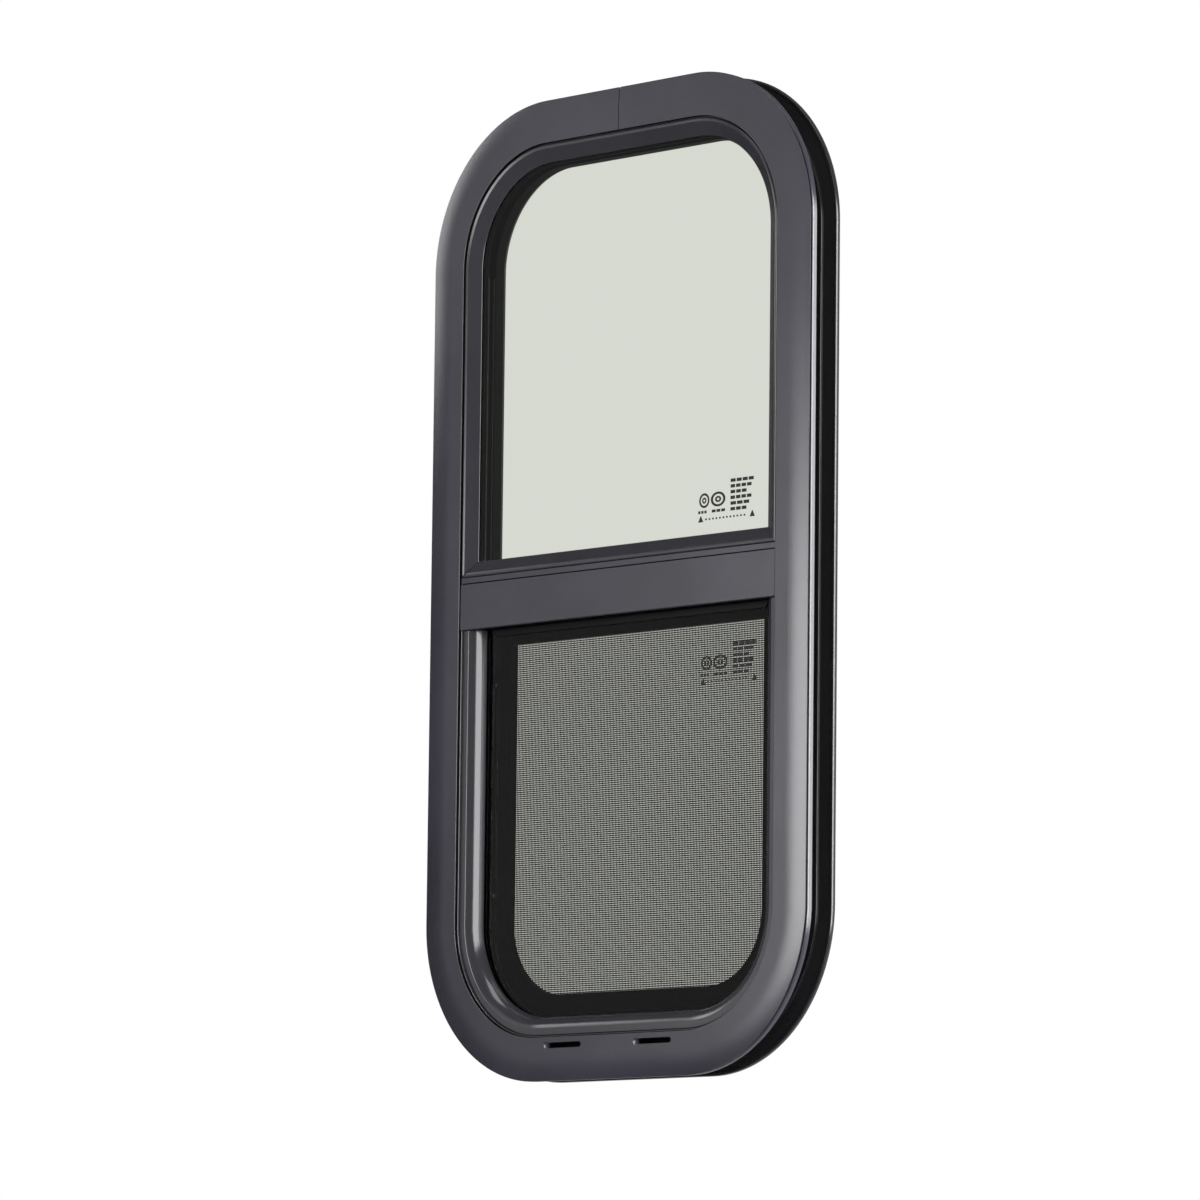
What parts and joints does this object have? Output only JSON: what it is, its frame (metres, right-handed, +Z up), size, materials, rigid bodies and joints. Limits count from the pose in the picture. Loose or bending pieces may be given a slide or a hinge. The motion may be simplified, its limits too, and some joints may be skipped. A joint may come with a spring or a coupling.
{
  "type": "caravan window",
  "caption": "Tall round-cornered caravan window: a fixed pane above a vertically sliding pane with an insect screen, in a bent aluminium frame with a clamp ring.",
  "frame": {"origin": "middle of the land on which the flange's bottom rests against the outer face of the wall", "axes": "+X to the right seen from outside, +Y through the wall towards indoors, +Z up"},
  "size_m": [0.356, 0.031, 0.6601],
  "materials": {
    "frame_coat": "satin graphite powder coat with a fine grain",
    "ring_coat": "satin black powder coat",
    "rail_coat": "satin black powder coat",
    "screen_coat": "satin black powder coat",
    "bead_rubber": "satin grey-black extruded rubber",
    "rubber": "matte black rubber",
    "foam": "closed-cell black foam",
    "pile": "black pile strip",
    "glass": "clear toughened glass with a faint green-grey tint",
    "mesh": "woven coated glass-fibre insect mesh",
    "latch_plastic": "fine-textured black plastic",
    "fasteners": "plain zinc-plated steel",
    "black_screws": "black-painted screw heads"
  },
  "bodies": {
    "root": {"outer_frame": "frame_coat", "wall_gasket": "foam", "seam_plate": "fasteners", "mullion": "frame_coat", "mullion_screws": "fasteners", "upper_glass": "glass", "glazing_tape": "rubber", "upper_bead": "bead_rubber", "bar_bead": "bead_rubber", "lower_bead": "bead_rubber", "glass_run": "rubber", "sash_glass": "glass", "sash_rail": "rail_coat", "meeting_seal": "pile", "latch_left": "latch_plastic", "latch_right": "latch_plastic", "screen_frame": "screen_coat", "screen_top_rail": "screen_coat", "screen_mesh": "mesh", "screen_spline": "rubber", "screen_pins": "fasteners", "screen_tabs": "latch_plastic", "clamp_ring": "ring_coat", "ring_screws": "black_screws"}
  },
  "joints": []
}
